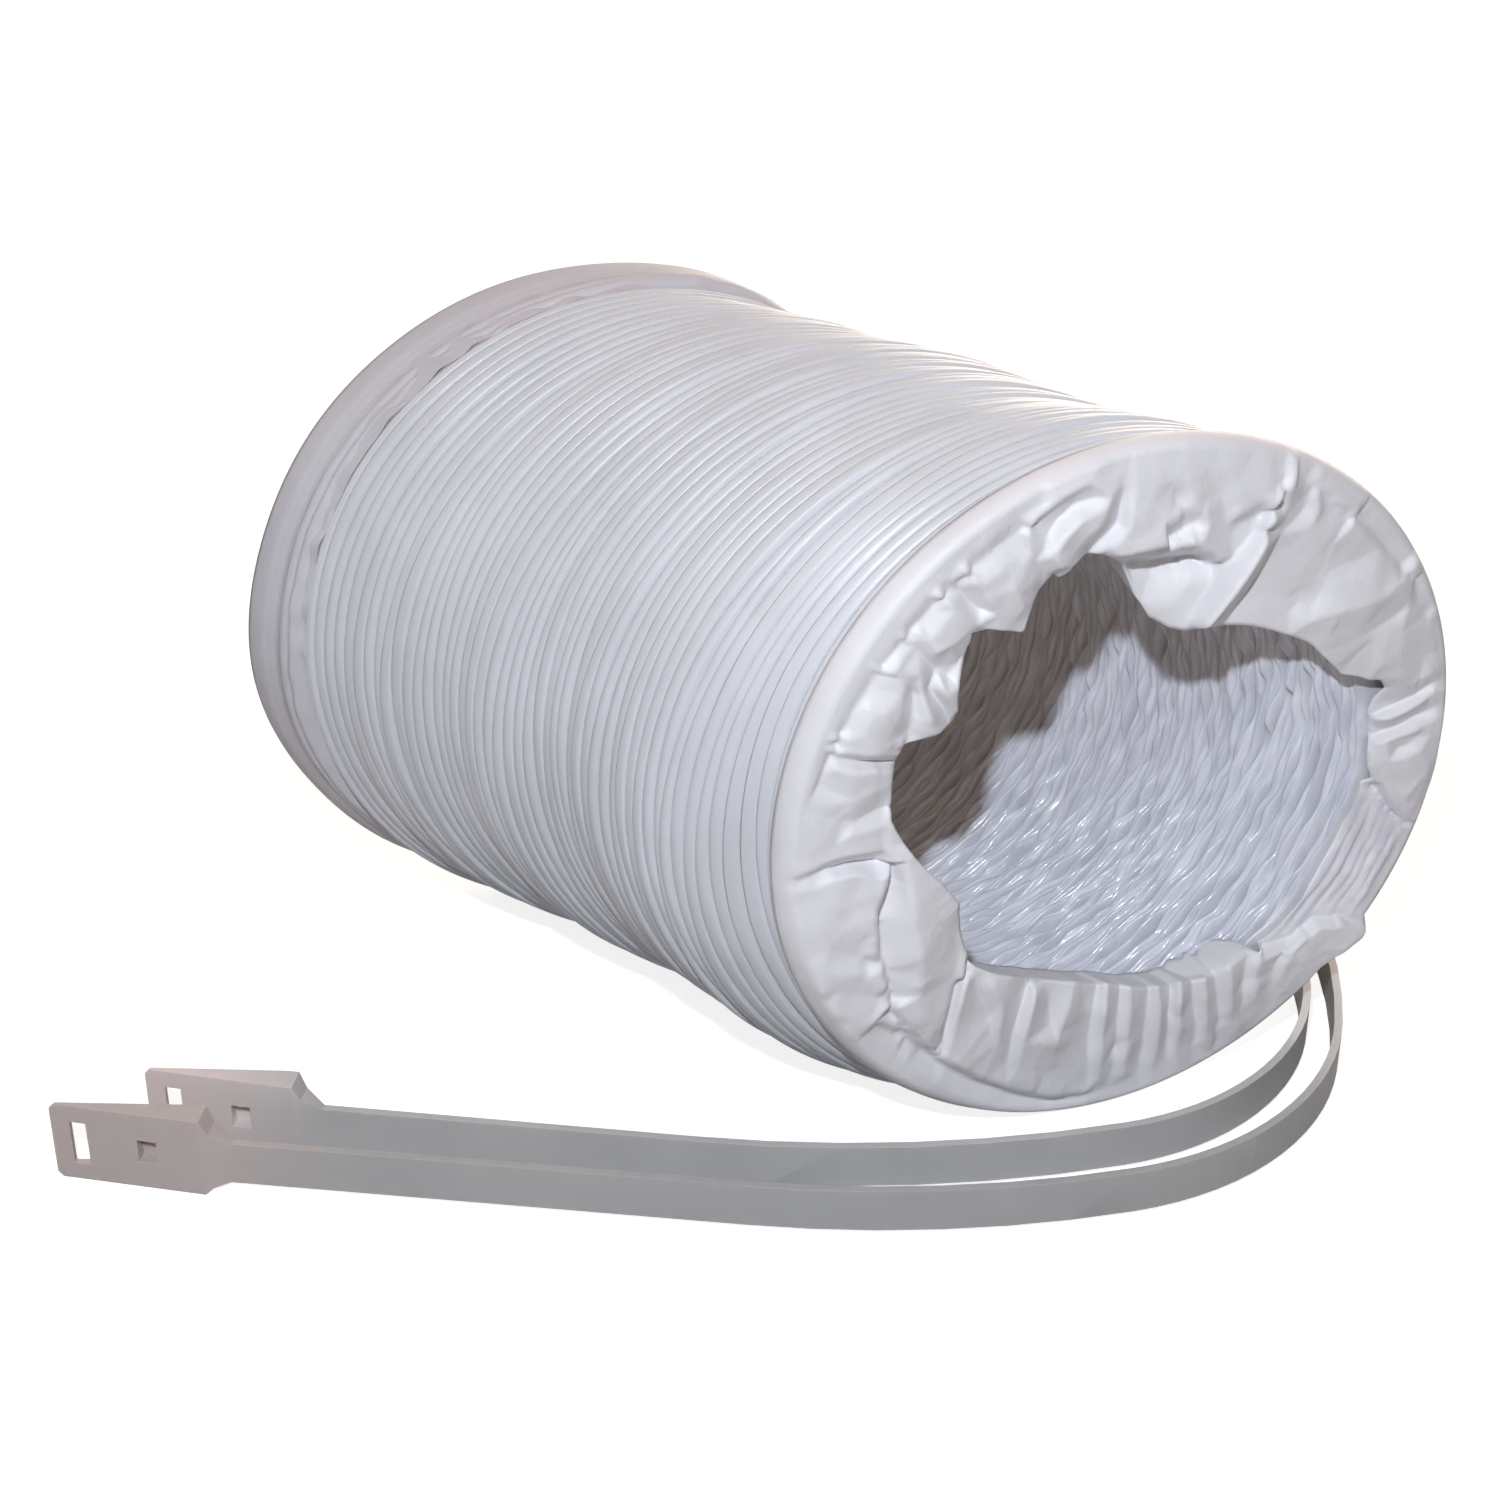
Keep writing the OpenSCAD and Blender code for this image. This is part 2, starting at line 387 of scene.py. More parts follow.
def field(waves, turn, angle):
    """The sum of a wave set, of about unit size."""
    total = np.zeros(np.broadcast(turn, angle).shape)
    for around, along, phase, height in waves:
        total += height * np.cos(around * angle + along * turn + phase)
    return total


def step(x):
    x = np.clip(x, 0, 1)
    return x * x * (3 - 2 * x)


def turned(angle, centre):
    """The signed angle from centre, in degrees."""
    return (np.degrees(angle) - centre + 180) % 360 - 180


# -------- where the film lies

# The stack sways: (distance from the rear end, sideways place of the ring centres), in mm
SWAY = [(0, 0.0), (12, 4.6), (26, 12.9), (40, 20.6), (54, 27.2), (68, 32.1), (82, 37.2), (94.5, 48.0)]

# Grooves that show: turn from the rear, angle of the middle, spread in degrees, width in mm
GROOVES = [
    (2.2, 100, 110, 1.1), (4.6, 150, 60, 0.9), (9.5, 120, 70, 0.5), (14.2, 100, 90, 0.7),
    (19.0, 120, 60, 0.6), (23.4, 95, 80, 0.7), (27.6, 110, 60, 0.6), (31.3, 120, 75, 1.2),
    (33.0, 90, 60, 0.7), (37.5, 130, 60, 0.6), (41.2, 70, 70, 0.8), (44.6, 60, 60, 0.9),
    (12.0, 30, 60, 0.8), (21.0, 40, 50, 0.7), (29.0, 20, 60, 0.9), (36.0, 30, 40, 0.8),
    (8.0, 250, 80, 0.9), (18.0, 270, 60, 0.8), (30.0, 240, 70, 1.0), (40.0, 280, 60, 0.8),
    (25.0, 310, 60, 0.8), (15.0, 200, 50, 0.6), (35.0, 190, 60, 0.7),
]

rng = np.random.default_rng(7)
SHIFT = wave_set(rng, 10, (0, 3), (0.15, 0.7))
JOSTLE = wave_set(rng, 14, (1, 5), (1.4, 3.0))
SWELL = wave_set(rng, 8, (0, 2), (0.2, 0.6))
RIPPLE = wave_set(rng, 14, (1, 6), (1.3, 3.1))
DRIFT = wave_set(rng, 24, (3, 12), (0.05, 0.7))
WANDER = wave_set(rng, 36, (8, 26), (0.8, 3.1))
DEPTH = wave_set(rng, 48, (8, 44), (0.9, 3.1))
HOLLOW = wave_set(rng, 10, (2, 6), (0.1, 0.5))
STREAKS = wave_set(rng, 48, (6, 34), (1.5, 6.2))
SAG = wave_set(rng, 12, (0, 4), (0.3, 1.6))


def sway(x):
    """Sideways place of the ring centres, in metres, at a place along X."""
    places, offsets = np.array(SWAY).T * MM
    fine = np.linspace(places[0], places[-1], 200)
    line = np.interp(fine, places, offsets)
    for _ in range(60):
        line[1:-1] = (line[:-2] + 2 * line[1:-1] + line[2:]) / 4
    return np.interp(x, fine, line)


def ends_window(turn):
    """1 inside the hose and 0 at its two ends, where the rings sit true."""
    return step(turn / 2.0) * step((N_TURNS - turn) / 2.0)


def crest_x(turn, angle):
    """Place along X of the wire, with the grooves where turns stand apart."""
    extra = 0.24 * MM * field(SHIFT, turn, angle) + 0.07 * MM * field(JOSTLE, turn, angle)
    for place, centre, spread, width in GROOVES:
        strength = np.exp(-((turned(angle, centre) / spread) ** 2)) * width * MM
        extra = extra + strength * (step((turn - place) / 0.9 + 0.5) - turn / N_TURNS)
    return rear_x + pitch * turn + extra * ends_window(turn)


def crest_radius(turn, angle):
    """Radius of the wire about the ring centre."""
    loose = 0.13 * MM * field(RIPPLE, turn, angle) + 0.28 * MM * field(SWELL, turn, angle)
    waist = 0.5 * MM * ends_window(turn)
    return ring_r - waist + loose * ends_window(turn)


def ring_point(x, radius, angle, centre=None):
    """A point on the ring at x. Angle 0 is the bottom, and it turns over -Y to the top."""
    y = (sway(x) if centre is None else centre) - radius * np.sin(angle)
    return np.stack(np.broadcast_arrays(x, y, -radius * np.cos(angle)), axis=-1)


# -------- meshes


def mesh_object(name, points, faces, material, **layers):
    """A smooth-shaded object from a list of points and an array of faces, all of one size.
    Each layer is a number per point: inward says how far inside the folds the point lies, for
    the film's material, and even_x where it would lie on a hose with even turns."""
    points, faces = np.asarray(points, np.float32), np.asarray(faces, np.int32)
    mesh = bpy.data.meshes.new(name)
    mesh.vertices.add(len(points))
    mesh.vertices.foreach_set("co", points.ravel())
    mesh.loops.add(faces.size)
    mesh.loops.foreach_set("vertex_index", faces.ravel())
    mesh.polygons.add(len(faces))
    mesh.polygons.foreach_set("loop_start", np.arange(len(faces), dtype=np.int32) * faces.shape[1])
    mesh.update(calc_edges=True)
    mesh.validate()
    mesh.polygons.foreach_set("use_smooth", np.ones(len(mesh.polygons), bool))
    for layer_name, values in layers.items():
        layer = mesh.attributes.new(layer_name, "FLOAT", "POINT")
        layer.data.foreach_set("value", np.asarray(values, np.float32).ravel())
    mesh.materials.append(material)
    return new_object(name, mesh)


def weld_seam(thing, close_ends=False):
    """Welds the seam of a mesh that closes on itself, and closes the two ends of a tube."""
    edit = bmesh.new()
    edit.from_mesh(thing.data)
    bmesh.ops.remove_doubles(edit, verts=edit.verts, dist=SAME_PLACE)
    if close_ends:
        bmesh.ops.holes_fill(edit, edges=[edge for edge in edit.edges if edge.is_boundary])
        bmesh.ops.recalc_face_normals(edit, faces=edit.faces)
    edit.to_mesh(thing.data)
    edit.free()


def grid_faces(rows, columns):
    """Quads of a grid, numbered row by row."""
    i, j = np.meshgrid(np.arange(rows - 1), np.arange(columns - 1), indexing="ij")
    corner = i * columns + j
    return np.stack([corner, corner + columns, corner + columns + 1, corner + 1], axis=-1)


def closed_sheet(name, points, material, **layers):
    """A sheet from points[station][row], whose last station meets the first."""
    points[-1, 2:] = points[0, 2:]
    faces = grid_faces(*points.shape[:2]).reshape(-1, 4)
    sheet = mesh_object(name, points.reshape(-1, 3), faces, material, **layers)
    weld_seam(sheet)
    return sheet


# -------- the pleated film

AROUND = 540
CREST_STEPS = 6
WALL_STOPS = (0.3, 0.7)
RIDGE_STOPS = ((1.0, 0.0), (0.8, 0.72), (0.52, 1.0), (0.24, 0.62), (0.0, 0.25))
CREST_COLUMN = len(WALL_STOPS) + len(RIDGE_STOPS) + CREST_STEPS // 2
CREST_LEAN = math.radians(66)
# Where the columns from the wire to the fold lie on a hose with even turns, in turns. The crest
# stays narrow when the hose is drawn out, and the walls open.
EVEN_STOPS = (0.01, 0.02, 0.03, 0.14, 0.29, 0.38, 0.41, 0.44, 0.47, 0.5)


# Limits on half a crest's and half a ridge's width, and how far a wall's foot stands out of the fold
CREST_HALF, RIDGE_HALF = 0.9 * MM, 1.2 * MM
FOLD_RISE = 0.9 * MM
# The ridges inside the folds, in mm: usual depth, spread, and the limit of the random part
RIDGE_DEPTH, RIDGE_SPREAD, RIDGE_LIMIT = 0.95, 0.36, 1.8


def half_pleat(turn, angle, way):
    """Rows from the crest's side down a wall to the middle of the fold on that side, and how far
    the crest reaches to that side."""
    here_x, here_r = crest_x(turn, angle), crest_radius(turn, angle)
    there_x, there_r = crest_x(turn + way, angle), crest_radius(turn + way, angle)
    middle = turn + way / 2
    apart = np.abs(there_x - here_x)
    wide = np.minimum(0.47 * apart, CREST_HALF)
    drift = 0.10 * MM * field(DRIFT, middle, angle) + 0.06 * MM * field(WANDER, middle, angle)
    fold_x = (here_x + there_x) / 2 + drift
    fold_in = fold_r + (here_r + there_r) / 2 - ring_r
    fold_in = fold_in + 0.17 * MM * field(DEPTH, middle, angle)
    fold_in = fold_in + 0.3 * MM * field(HOLLOW, middle, angle)
    ridge = middle - way / 4
    half = np.minimum(0.45 * apart, RIDGE_HALF)
    rough = np.clip(field(STREAKS, ridge, angle), -RIDGE_LIMIT, RIDGE_LIMIT)
    depth = (RIDGE_DEPTH + RIDGE_SPREAD * rough) * MM
    edge_x, top_x = fold_x - way * half, here_x + way * wide
    rows = []
    for share in WALL_STOPS:
        lean = step(share)
        rows.append((top_x + (edge_x - top_x) * lean, here_r + (fold_in + FOLD_RISE - here_r) * share))
    slip = 0.05 * MM * field(STREAKS, ridge + 9, angle)
    for out, high in RIDGE_STOPS:
        place = fold_x - way * half * out + slip * (high > 0.5)
        rows.append((place, fold_in + FOLD_RISE - (depth if out else FOLD_RISE) * high))
    return rows, wide


def ribbon_rows(turn, angle):
    """Points across one turn of film, from the fold behind it, over the wire, to the fold ahead."""
    here_x, here_r = crest_x(turn, angle), crest_radius(turn, angle)
    behind, wide_behind = half_pleat(turn, angle, -1)
    ahead, wide_ahead = half_pleat(turn, angle, 1)
    rows = behind[::-1]
    sag = np.clip(0.25 + 0.10 * field(SAG, turn, angle), 0.1, 0.5) * MM
    for k in range(CREST_STEPS + 1):
        lean = CREST_LEAN * (2 * k / CREST_STEPS - 1)
        wide = wide_behind if k < CREST_STEPS / 2 else wide_ahead
        fall = (1 - math.cos(lean)) / (1 - math.cos(CREST_LEAN))
        x = here_x + wide * math.sin(lean) / math.sin(CREST_LEAN)
        rows.append((x, here_r + crest_r - sag * fall))
    return rows + ahead


def along_wire(start, stop):
    """Turns and angles of the stations from one turn to another."""
    index = np.arange(round(start * AROUND), round(stop * AROUND) + 1)
    return index / AROUND, (index % AROUND) / AROUND * TURN


def film_points():
    """The whole film: points[station][across]."""
    turn, angle = along_wire(0, N_TURNS)
    return np.stack([ring_point(x, r, angle) for x, r in ribbon_rows(turn, angle)], axis=1)


def film_faces(start, stop, columns):
    """Faces of a stretch of film. The lip and the sleeve take over at the last and first crest."""
    faces = grid_faces(stop - start + 1, columns)
    station, column = np.meshgrid(np.arange(start, stop), np.arange(columns - 1), indexing="ij")
    lip_side = (station >= (N_TURNS - 1) * AROUND) & (column >= CREST_COLUMN)
    sleeve_side = (station < AROUND) & (column < CREST_COLUMN)
    return faces[~(lip_side | sleeve_side)]


def section_cut(k):
    """Place of the cut between skin k and skin k + 1."""
    if k == 0:
        return front_x + 0.05
    return rear_x - 0.05 if k == SECTIONS - 1 else front_x - (k + 0.5) * section_l


def across_joint(piece, k):
    """Piece k bends from the middle of section k to the middle of section k + 1. How far a point
    follows is read from its even_x, eased so that all turns between the two open alike."""
    mesh = piece.data
    middle = front_x - (k - 0.5) * section_l
    ahead = "front_end" if k == 1 else f"hose_{k}"
    even_x = np.zeros(len(mesh.vertices), np.float32)
    mesh.attributes["even_x"].data.foreach_get("value", even_x)
    mesh.attributes.remove(mesh.attributes["even_x"])
    share = np.clip((middle - even_x) / section_l, 0, 1)
    eased = 0.5 - np.sin(np.arcsin(1 - 2 * share) / 3)
    places = np.zeros(len(mesh.vertices) * 3, np.float32)
    mesh.vertices.foreach_get("co", places)
    evened = places.reshape(-1, 3).copy()
    evened[:, 0] = middle - eased * section_l
    mesh.vertices.foreach_set("co", evened.ravel())
    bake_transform(piece, ahead, f"hose_{k + 1}", start=(middle, 0, 0), end=(middle - section_l, 0, 0))
    mesh.vertices.foreach_set("co", places)
    mesh.update()


def nodes_of(kind, k):
    """The CAD nodes that piece k stands for. The last piece stands for two sections."""
    return [f"{kind}_{i}" for i in ((k, k + 1) if k == SECTIONS - 1 else (k,))]


def build_film(material):
    """The film as one skin per joint."""
    points = film_points()
    columns = points.shape[1]
    across = np.abs(np.arange(columns) - CREST_COLUMN) / CREST_COLUMN
    even_stops = np.array([-stop for stop in EVEN_STOPS[::-1]] + [0, *EVEN_STOPS])
    for k in range(1, SECTIONS):
        high, low = section_cut(k - 1), section_cut(k)
        start = int(max(0, (low - rear_x) / pitch - 4) * AROUND)
        stop = int(min(N_TURNS, (high - rear_x) / pitch + 4) * AROUND)
        part = points[start : stop + 1].reshape(-1, 3)
        inward = np.tile(step((across - 0.35) * 2.2), stop - start + 1)
        turn = np.arange(start, stop + 1)[:, None] / AROUND
        even_x = rear_x + pitch * (turn + even_stops)
        faces = film_faces(start, stop, columns)
        skin = mesh_object(f"film_skin_{k}", part, faces, material, inward=inward, even_x=even_x)
        trim_skin(skin, low, high)
        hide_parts(*nodes_of("film", k))
        across_joint(skin, k)


def trim_skin(skin, low, high):
    """Cuts a skin at both ends, where its even_x reaches low and high, and keeps the shading that
    the whole film has."""
    mesh = skin.data
    edit = bmesh.new()
    edit.from_mesh(mesh)
    vectors = edit.verts.layers.float_vector
    for name in ("whole_normal", "place"):
        vectors.new(name)
    keep, place, even_x = vectors["whole_normal"], vectors["place"], edit.verts.layers.float["even_x"]
    bmesh.ops.remove_doubles(edit, verts=edit.verts, dist=SAME_PLACE)
    edit.normal_update()
    for vertex in edit.verts:
        vertex[keep] = vertex.normal
        vertex[place] = vertex.co
        vertex.co.x = vertex[even_x]
    for x, way in ((low, -1), (high, 1)):
        geometry = edit.verts[:] + edit.edges[:] + edit.faces[:]
        bmesh.ops.bisect_plane(
            edit, geom=geometry, plane_co=(x, 0, 0), plane_no=(way, 0, 0), clear_outer=True
        )
    loose = [vertex for vertex in edit.verts if not vertex.link_faces]
    bmesh.ops.delete(edit, geom=loose, context="VERTS")
    for vertex in edit.verts:
        vertex.co = vertex[place]
    edit.to_mesh(mesh)
    edit.free()
    normals = np.zeros(len(mesh.vertices) * 3, np.float32)
    mesh.attributes["whole_normal"].data.foreach_get("vector", normals)
    mesh.normals_split_custom_set_from_vertices(normals.reshape(-1, 3))
    for name in ("whole_normal", "place"):
        mesh.attributes.remove(mesh.attributes[name])


# -------- the spring wire

WIRE_SIDES = 8


def build_wire(material):
    """The wire inside the crests, one stretch per joint, each closed flat at both ends."""
    for k in range(1, SECTIONS):
        stop = (section_cut(k - 1) - rear_x) / pitch if k > 1 else N_TURNS
        start = (section_cut(k) - rear_x) / pitch if k < SECTIONS - 1 else 0
        turn, angle = along_wire(start, stop)
        x, radius = crest_x(turn, angle), crest_radius(turn, angle)
        sides = []
        for side in np.arange(WIRE_SIDES) / WIRE_SIDES * TURN:
            sides.append(ring_point(x + wire_r * math.cos(side), radius + wire_r * math.sin(side), angle))
        sides.append(sides[0])
        points = np.stack(sides, axis=1)
        faces = grid_faces(len(turn), WIRE_SIDES + 1).reshape(-1, 4)
        even_x = np.repeat(rear_x + pitch * turn, WIRE_SIDES + 1)
        wire = mesh_object(f"spring_wire_{k}", points.reshape(-1, 3), faces, material, even_x=even_x)
        weld_seam(wire, close_ends=True)
        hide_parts(*nodes_of("wire", k))
        across_joint(wire, k)


# -------- the tucked lip

# The lip's edge, ridges and valleys were read in an enlarged crop of the photo. A place that
# was read is across and down in the crop's pixels, then its height before the face in mm, a guess.
PHOTO_SIZE = 1500
CROP_CORNER = (790, 420)
CROP_SCALE = 2.209
# The mouth's ring centre in the camera fit, from which the places are measured
FITTED_Y = 48.0 * MM
LIP_FACE = 1.9 * MM
# The heights of the bottom's pleats were first guessed too large, and all are lowered to this share
LOWERED = 0.62

# The inner edge: round the top from the left, and along the bottom from the right
TOP_EDGE = [
    (386, 1120, 0.1), (384, 1062, 0.7), (345, 1018, 1.1), (235, 884, 0.6), (236, 800, -0.4), (243, 750, -2),
    (262, 712, -1), (300, 700, -0.6), (340, 690, 0.3), (366, 668, -1.8), (382, 640, -0.4), (385, 590, 0.3),
    (396, 512, -1.2), (410, 465, 0.2), (430, 455, -0.5), (480, 462, 0.4), (526, 466, -0.6), (542, 420, 0),
    (560, 372, -0.8), (592, 332, -1.2), (604, 345, -1.4), (626, 332, -0.3), (645, 305, -0.4),
    (664, 290, -2.2), (700, 292, -0.8), (745, 312, -3), (775, 385, -3.6), (803, 430, -3.4),
    (850, 455, -2.6), (885, 462, -1.8), (960, 450, -0.4), (1040, 452, 0.1), (1100, 468, 0.3),
    (1160, 490, 0.7), (1190, 520, 0.9), (1230, 560, 0.8), (1290, 568, 0.9), (1322, 572, 0.7),
    (1330, 588, -0.4), (1306, 612, -1.4), (1292, 640, -1.9), (1296, 690, -1.8), (1292, 730, -0.9),
    (1290, 765, -0.8), (1300, 790, -0.9),
]
BOTTOM_EDGE = [
    (1055, 1172, 0.4), (1020, 1175, -1.6), (982, 1205, 0.5), (945, 1225, -1.8), (928, 1232, 0.2),
    (895, 1238, -1.6), (872, 1240, 0.6), (850, 1248, -1.8), (822, 1250, 0.4), (800, 1250, -1.8),
    (762, 1250, 0.3), (738, 1246, -1.6), (712, 1245, 0.4), (690, 1245, -2), (640, 1240, 0),
    (572, 1235, -1.2), (540, 1232, -2.2), (500, 1228, 0.1), (440, 1215, 0.1), (412, 1200, -0.4),
    (402, 1180, 0.4), (392, 1180, -2.4),
]
# The leaf-shaped panel at the lower left
LEAF_PANEL = [
    [(238, 888, 0.8), (290, 950, 1.4), (345, 1018, 1.2), (384, 1062, 0.8), (386, 1120, 0.2),
     (378, 1200, 0.6), (350, 1330, 1.2), (332, 1388, 0.2)],
    [(262, 960, 1.6), (285, 1080, 2.5), (300, 1180, 2.7), (300, 1280, 2.2), (318, 1350, 1.4)],
    [(236, 900, 0.9), (238, 990, 1.3), (206, 1090, 1.9), (214, 1180, 2.1), (238, 1290, 1.8),
     (290, 1360, 1.2)],
    [(226, 965, -1.6), (229, 1000, -1.6), (197, 1087, -1), (205, 1181, -0.6), (229, 1297, -0.4),
     (281, 1368, -0.3)],
]
LEFT_CREASES = [
    [(112, 742, 0), (150, 744, -0.9), (200, 750, -1.7), (243, 748, -2.2)],
    [(112, 733, 0.9), (150, 735, 1.2), (203, 740, 1), (250, 737, -0.4)],
    [(105, 705, 0.6), (150, 702, 1), (205, 706, 1), (258, 716, 0.1)],
    [(115, 770, 0.7), (160, 776, 1.1), (205, 772, 0.9), (238, 776, 0.3)],
    [(150, 885, 0.5), (195, 858, -0.2), (236, 842, -1)],
    [(150, 840, 1.1), (200, 820, 0.9), (235, 806, 0.4)],
    [(150, 915, 1.3), (190, 905, 1.1), (226, 890, 0.6)],
    [(55, 1002, -0.1), (100, 984, -1.1), (150, 972, -1.8), (216, 958, -2.4)],
    [(55, 992, 0.8), (98, 974, 1.2), (148, 961, 1.3), (216, 946, 0.8)],
    [(60, 962, 0.6), (110, 940, 1.1), (165, 928, 1.2), (218, 915, 0.7)],
    [(70, 1035, 0.7), (110, 1012, 1.3), (160, 1000, 1.5), (205, 1010, 1)],
    [(95, 1165, 1.1), (140, 1178, 0.5), (190, 1192, 0.3)],
    [(80, 1120, 1.2), (130, 1130, 1.4), (180, 1140, 1.1)],
    [(90, 1260, 1.1), (150, 1262, 0.5), (215, 1268, 0.5)],
    [(85, 1215, 1.2), (140, 1222, 1.3), (195, 1230, 1.1)],
    [(140, 1360, 0.6), (200, 1385, 0.1), (262, 1362, -0.2)],
    [(120, 1310, 1.1), (180, 1325, 1.1), (235, 1330, 0.8)],
]
# Short folds and dimples at the upper left
UPPER_LEFT = [
    [(268, 482, 0.4), (300, 515, -0.6), (340, 552, -1.4), (356, 556, -1.6)],
    [(356, 556, -1.6), (375, 535, -1.2), (395, 510, -1.4)],
    [(300, 470, 1), (345, 510, 1.5), (380, 490, 1.1), (408, 462, 0.6)],
    [(318, 590, -1), (345, 625, -1.4), (362, 665, -2)],
    [(300, 560, 0.9), (308, 610, 1.2), (318, 650, 1.1), (332, 688, 0.5)],
    [(350, 590, 0.8), (368, 620, 0.6), (380, 640, -0.2)],
    [(268, 570, 0.9), (288, 600, -0.5), (285, 640, -0.9), (262, 705, -1.2)],
    [(190, 640, 1.2), (225, 650, 1.5), (230, 690, 1), (242, 728, -0.4)],
    [(220, 560, 1.2), (255, 540, 1.3), (262, 600, 1.3), (255, 650, 1)],
    [(375, 350, 0.4), (385, 372, -0.6), (402, 395, -1), (425, 410, -0.9)],
    [(400, 330, 1.1), (430, 360, 1.4), (455, 395, 1.3), (470, 430, 0.8)],
    [(350, 390, 1.2), (375, 415, 1.2), (400, 432, 1), (425, 450, 0.3)],
    [(430, 455, -0.4), (480, 462, 0.4), (525, 465, -0.6), (540, 420, 0), (560, 375, -0.8)],
    [(480, 330, 1.2), (510, 370, 1.8), (530, 410, 1.2)],
    [(545, 300, 0.9), (575, 335, -0.6), (600, 345, -1.6)],
    [(590, 300, 1.3), (612, 322, 1), (632, 328, -0.3)],
]
# The top, with the long fold over the mouth
TOP_FOLDS = [
    [(572, 285, 0.5), (580, 255, -0.7), (600, 215, -1.1), (640, 182, -0.8), (690, 168, 0.1)],
    [(600, 290, 1.4), (625, 255, 1.5), (660, 222, 1.6), (705, 200, 1.5)],
    [(540, 250, 0.9), (560, 215, 1), (610, 170, 1), (680, 135, 0.9)],
    [(748, 140, 0.4), (742, 180, -0.7), (735, 225, -1.2), (700, 258, -1.6), (662, 292, -2.2)],
    [(722, 165, 1.2), (712, 205, 1.4), (690, 238, 0.9), (650, 268, 0.7), (640, 300, 0)],
    [(775, 150, 0.9), (768, 195, 1.2), (762, 238, 1.1), (725, 275, 0.3), (700, 290, -0.6)],
    [(770, 292, -1.2), (825, 272, -1.3), (870, 245, -1), (905, 222, -0.2)],
    [(785, 255, 1.1), (835, 235, 1.5), (880, 205, 1.4), (920, 180, 0.9)],
    [(745, 300, 0.6), (800, 295, 1.5), (860, 286, 1.8), (890, 274, 1.9), (908, 262, 2), (935, 290, 1.9),
     (958, 314, 1.4)],
    [(752, 308, -5.4), (800, 303, -6), (858, 294, -5.6), (896, 280, -4.4), (926, 303, -2.8),
     (946, 324, -1.6)],
    [(758, 330, -4.4), (805, 330, -4.8), (855, 326, -4), (882, 322, -3)],
    [(850, 130, 0.9), (865, 170, 0.3), (880, 200, 0.6)],
    [(930, 110, 0.9), (960, 160, 0.4), (975, 215, 0.3), (985, 255, 0.1)],
    [(890, 140, 1.3), (915, 175, 1.3), (935, 225, 1.3), (948, 262, 1.4)],
    [(990, 120, 1.2), (1005, 165, 1.4), (1015, 190, 1.3)],
]
# The flap, the strip that stands out beside it, and the wide panel at the right
RIGHT_PANEL = [
    [(765, 355, -3.8), (800, 428, -3.2), (860, 400, -2.2), (898, 352, -1.7)],
    [(1050, 235, 0.4), (1000, 285, 0.2), (955, 335, -0.6), (915, 395, -1.2), (885, 455, -1.6)],
    [(1132, 128, 1.9), (1110, 160, 2.6), (1088, 200, 2.5), (1064, 275, 3.1), (1018, 350, 3.3),
     (970, 415, 3.2), (934, 466, 3)],
    [(1108, 205, 0.8), (1084, 262, 0), (1050, 330, -0.4), (1002, 398, -0.5), (962, 452, -0.3)],
    [(1100, 135, 0.9), (1080, 175, 0.5), (1050, 205, -0.2), (1005, 222, -0.1)],
    [(1062, 160, 1.6), (1038, 185, 1.6), (1005, 205, 1.4)],
    [(1155, 150, 0.6), (1150, 185, 0.2), (1125, 215, 0.2)],
    [(1180, 165, 1.2), (1180, 200, 1.2), (1160, 235, 1)],
    [(1130, 300, 0.1), (1120, 360, -0.3), (1135, 400, -0.1), (1100, 430, 0.1), (1060, 445, 0.1)],
    [(1210, 270, 0.9), (1200, 330, 0.4), (1180, 380, 0.2), (1160, 415, 0.5)],
    [(1388, 332, 1.2), (1345, 372, 1.9), (1290, 405, 2.1), (1225, 425, 2), (1168, 440, 1.7)],
    [(1360, 420, 0.8), (1300, 460, 0.9), (1240, 490, 1), (1190, 508, 0.9)],
    [(1392, 345, 0.9), (1372, 430, 1.4), (1362, 500, 1.5), (1356, 565, 1)],
    [(1428, 430, 0.7), (1412, 500, 0.6), (1398, 570, 0.4)],
    [(1130, 118, 0.5), (1200, 165, -0.1), (1270, 225, -0.3), (1340, 300, -0.2), (1385, 350, 0.1),
     (1412, 420, 0.2)],
    [(1180, 135, 0.9), (1235, 190, 0.9), (1290, 245, 0.9), (1345, 315, 0.8)],
]
RIGHT_PLEATS = [
    [(1436, 575, 0.3), (1395, 600, -0.7), (1345, 625, -1.3), (1296, 648, -1.8)],
    [(1432, 602, 0.9), (1390, 628, 0.9), (1345, 650, 0.5), (1300, 668, -0.2)],
    [(1436, 632, 0.2), (1390, 652, -0.9), (1345, 672, -1.3), (1305, 690, -1.8)],
    [(1436, 660, 0.8), (1395, 680, 0.9), (1350, 700, 0.6), (1310, 716, -0.1)],
    [(1430, 552, 0.8), (1390, 578, 0.7), (1360, 590, 0.2)],
    [(1425, 700, 1), (1400, 730, 1.3), (1370, 745, 1.1), (1340, 750, 0.6), (1310, 745, -0.3)],
    [(1418, 770, 1), (1395, 800, 1.2), (1375, 825, 0.8), (1358, 845, 0.2)],
    [(1392, 700, 0.4), (1372, 715, 0.1), (1352, 722, -0.3)],
]
